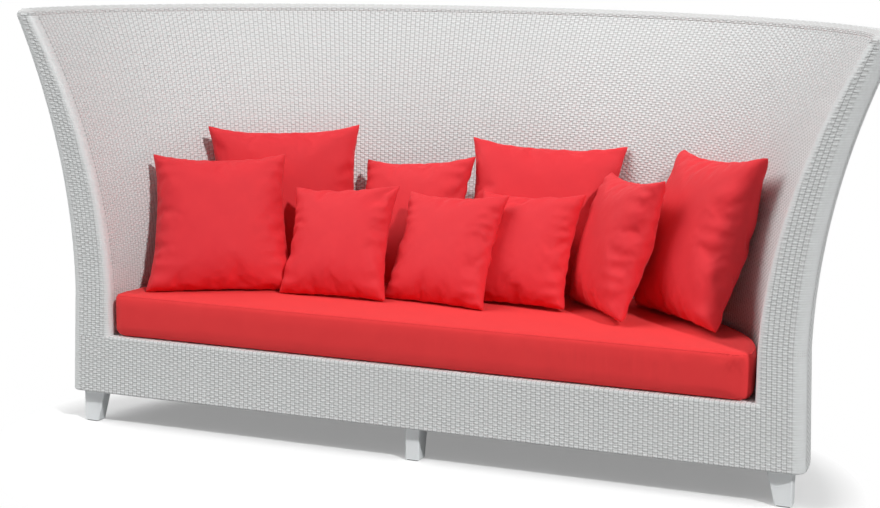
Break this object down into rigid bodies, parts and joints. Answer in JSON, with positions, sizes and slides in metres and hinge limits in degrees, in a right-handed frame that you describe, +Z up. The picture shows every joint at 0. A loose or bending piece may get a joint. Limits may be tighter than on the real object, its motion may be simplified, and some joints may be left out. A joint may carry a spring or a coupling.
{
  "type": "outdoor sofa",
  "caption": "High-backed curved outdoor sofa of woven resin on a tube frame, with one long seat cushion and loose throw pillows that lift off.",
  "frame": {"origin": "on the floor, under the middle of the sofa's box", "axes": "+X along the width to the right when facing the sofa, +Y to the back, +Z up"},
  "size_m": [2.612, 1.0768, 1.262],
  "materials": {
    "weave": "satin",
    "frame": "satin",
    "leg_paint": "satin",
    "glide": "matte",
    "cushion_fabric": "matte",
    "pillow_fabric": "satin"
  },
  "bodies": {
    "shell": {"outer_skin": "weave", "inner_skin": "weave", "rim_wrap": "weave", "right_arm_front": "weave", "left_arm_front": "weave", "front_apron": "weave", "bottom_border": "weave", "seat_deck": "weave", "base_rail": "frame", "seat_rail": "frame", "top_rail": "frame", "front_base_rail": "frame", "front_seat_rail": "frame", "cross_rails": "frame", "uprights": "frame", "right_front_post": "frame", "left_front_post": "frame", "leg_plates": "frame", "front_left_leg": "leg_paint", "front_centre_leg": "leg_paint", "front_right_leg": "leg_paint", "rear_left_leg": "leg_paint", "rear_centre_leg": "leg_paint", "rear_right_leg": "leg_paint", "foot_glides": "glide"},
    "seat_cushion": {"seat_cushion": "cushion_fabric"},
    "pillow_left_front": {"pillow_left_front": "pillow_fabric"},
    "pillow_left_back": {"pillow_left_back": "pillow_fabric"},
    "pillow_small_left": {"pillow_small_left": "pillow_fabric"},
    "pillow_middle_back": {"pillow_middle_back": "pillow_fabric"},
    "pillow_small_middle": {"pillow_small_middle": "pillow_fabric"},
    "pillow_small_right": {"pillow_small_right": "pillow_fabric"},
    "pillow_right_back": {"pillow_right_back": "pillow_fabric"},
    "pillow_right_inner": {"pillow_right_inner": "pillow_fabric"},
    "pillow_right_outer": {"pillow_right_outer": "pillow_fabric"}
  },
  "joints": [
    {"name": "seat_cushion_lift", "type": "slide", "parent": "shell", "child": "seat_cushion", "axis": [0, 0, 1], "range_m": [0, 1]},
    {"name": "pillow_left_front_lift", "type": "slide", "parent": "seat_cushion", "child": "pillow_left_front", "axis": [-0.3377, -0.0281, 0.9408], "range_m": [0, 0.5]},
    {"name": "pillow_left_back_lift", "type": "slide", "parent": "seat_cushion", "child": "pillow_left_back", "axis": [-0.0998, 0.1217, 0.9875], "range_m": [0, 0.95]},
    {"name": "pillow_small_left_lift", "type": "slide", "parent": "seat_cushion", "child": "pillow_small_left", "axis": [-0.0505, 0.1054, 0.9931], "range_m": [0, 0.5]},
    {"name": "pillow_middle_back_lift", "type": "slide", "parent": "seat_cushion", "child": "pillow_middle_back", "axis": [0.0119, 0.1398, 0.9901], "range_m": [0, 0.95]},
    {"name": "pillow_small_middle_lift", "type": "slide", "parent": "seat_cushion", "child": "pillow_small_middle", "axis": [0.2375, -0.0462, 0.9703], "range_m": [0, 0.5]},
    {"name": "pillow_small_right_lift", "type": "slide", "parent": "seat_cushion", "child": "pillow_small_right", "axis": [0.0651, 0.3689, 0.9272], "range_m": [0, 0.5]},
    {"name": "pillow_right_back_lift", "type": "slide", "parent": "seat_cushion", "child": "pillow_right_back", "axis": [0.1328, 0.2928, 0.9469], "range_m": [0, 0.95]},
    {"name": "pillow_right_inner_lift", "type": "slide", "parent": "seat_cushion", "child": "pillow_right_inner", "axis": [0.1568, -0.0344, 0.987], "range_m": [0, 0.5]},
    {"name": "pillow_right_outer_lift", "type": "slide", "parent": "seat_cushion", "child": "pillow_right_outer", "axis": [-0.0343, 0.0395, 0.9986], "range_m": [0, 0.95]}
  ]
}
